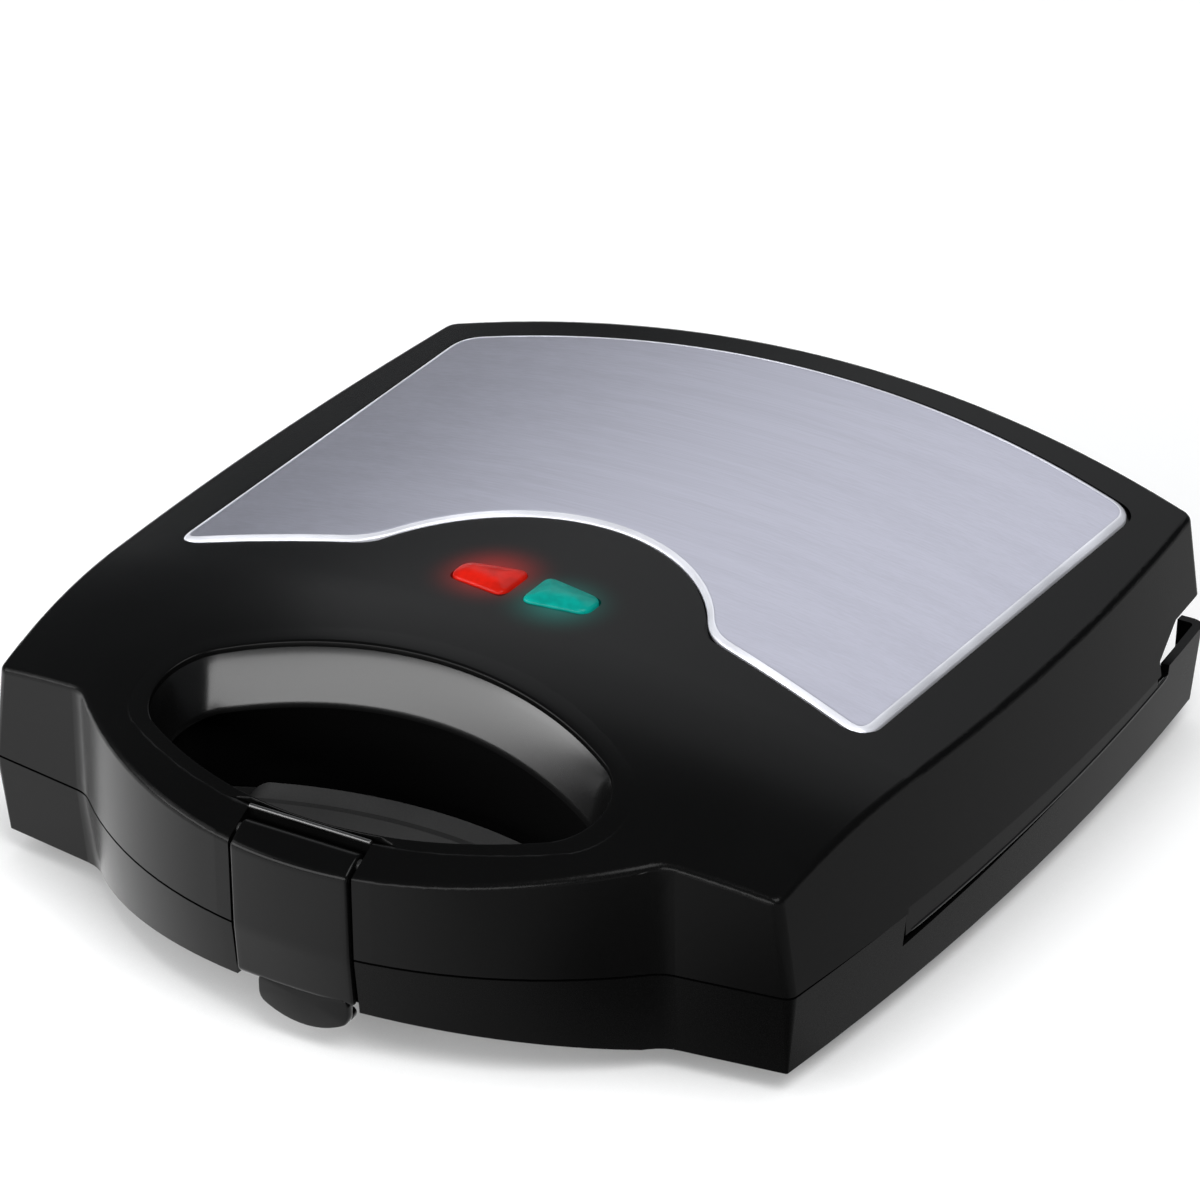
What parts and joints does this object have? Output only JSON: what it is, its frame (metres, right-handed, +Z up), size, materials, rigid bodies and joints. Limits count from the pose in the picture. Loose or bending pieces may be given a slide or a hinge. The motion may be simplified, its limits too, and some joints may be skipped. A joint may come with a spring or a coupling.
{
  "type": "sandwich maker",
  "caption": "Countertop sandwich maker: a black housing with a hinged lid, looped front handle with latch, brushed top panel, indicator lamps and triangular non-stick plates.",
  "frame": {"origin": "centre of the object's box on the surface it stands on", "axes": "+X to the user's right, +Y from the handle to the hinge, +Z up"},
  "size_m": [0.2442, 0.2591, 0.0754],
  "materials": {
    "housing_black": "satin black moulded plastic",
    "deck_black": "heat-resistant black plastic",
    "pan_steel": "bright aluminised sheet",
    "element_steel": "dark heat-toned tube",
    "plate_coating": "black non-stick coating on a casting",
    "catch_black": "moulded black plastic",
    "spring_steel": "spring steel",
    "pin_steel": "plain steel pin",
    "screw_steel": "zinc-plated steel",
    "gland_rubber": "moulded black rubber",
    "terminal_white": "white moulded plastic",
    "fuse_case": "lacquered metal can",
    "lead_sleeve": "white woven heat sleeve",
    "panel_brushed": "blue-grey brushed sheet",
    "lens_red": "clear red moulded plastic",
    "lens_green": "clear green moulded plastic",
    "lamp_glass": "clear glass",
    "holder_plastic": "grey moulded plastic",
    "thermostat_body": "brown moulded body",
    "latch_black": "satin black moulded plastic",
    "foot_rubber": "matt black rubber"
  },
  "bodies": {
    "base": {"base_housing": "housing_black", "bottom_cover": "housing_black", "finger_cup": "deck_black", "lower_deck": "deck_black", "lower_reflector": "pan_steel", "lower_element": "element_steel", "lower_element_saddles": "pan_steel", "lower_plate": "plate_coating", "lower_catch_spring": "spring_steel", "left_hinge_pin": "pin_steel", "right_hinge_pin": "pin_steel", "base_screws": "screw_steel", "cord_gland": "gland_rubber", "terminal_block": "terminal_white", "thermal_fuse": "fuse_case", "base_leads": "lead_sleeve", "foot_front_left": "foot_rubber", "foot_front_right": "foot_rubber", "foot_rear_left": "foot_rubber", "foot_rear_right": "foot_rubber"},
    "lid": {"lid_housing": "housing_black", "upper_deck": "deck_black", "upper_reflector": "pan_steel", "upper_element": "element_steel", "upper_element_saddles": "pan_steel", "upper_plate": "plate_coating", "upper_catch_spring": "spring_steel", "top_panel": "panel_brushed", "power_lens": "lens_red", "ready_lens": "lens_green", "power_lamp": "lamp_glass", "ready_lamp": "lamp_glass", "lamp_holder": "holder_plastic", "thermostat": "thermostat_body", "lid_leads": "lead_sleeve", "lid_screws": "screw_steel", "latch_pin": "pin_steel"},
    "latch": {"latch_clip": "latch_black"},
    "lower_catch": {"lower_catch": "catch_black"},
    "upper_catch": {"upper_catch": "catch_black"}
  },
  "joints": [
    {"name": "lid_hinge", "type": "hinge", "parent": "base", "child": "lid", "pos_m": [0, 0.11405, 0.0255], "axis": [-1, 0, 0], "range_deg": [0, 95]},
    {"name": "latch_pivot", "type": "hinge", "parent": "lid", "child": "latch", "pos_m": [0, -0.12255, 0.0512], "axis": [-1, 0, 0], "range_deg": [-2.5, 45]},
    {"name": "lower_catch_slide", "type": "slide", "parent": "base", "child": "lower_catch", "axis": [1, 0, 0], "range_m": [0, 0.004], "stiffness_N_per_m": 400, "springref_m": -0.002, "deforming": ["lower_catch_spring"]},
    {"name": "upper_catch_slide", "type": "slide", "parent": "lid", "child": "upper_catch", "axis": [1, 0, 0], "range_m": [0, 0.004], "stiffness_N_per_m": 400, "springref_m": -0.002, "deforming": ["upper_catch_spring"]}
  ]
}
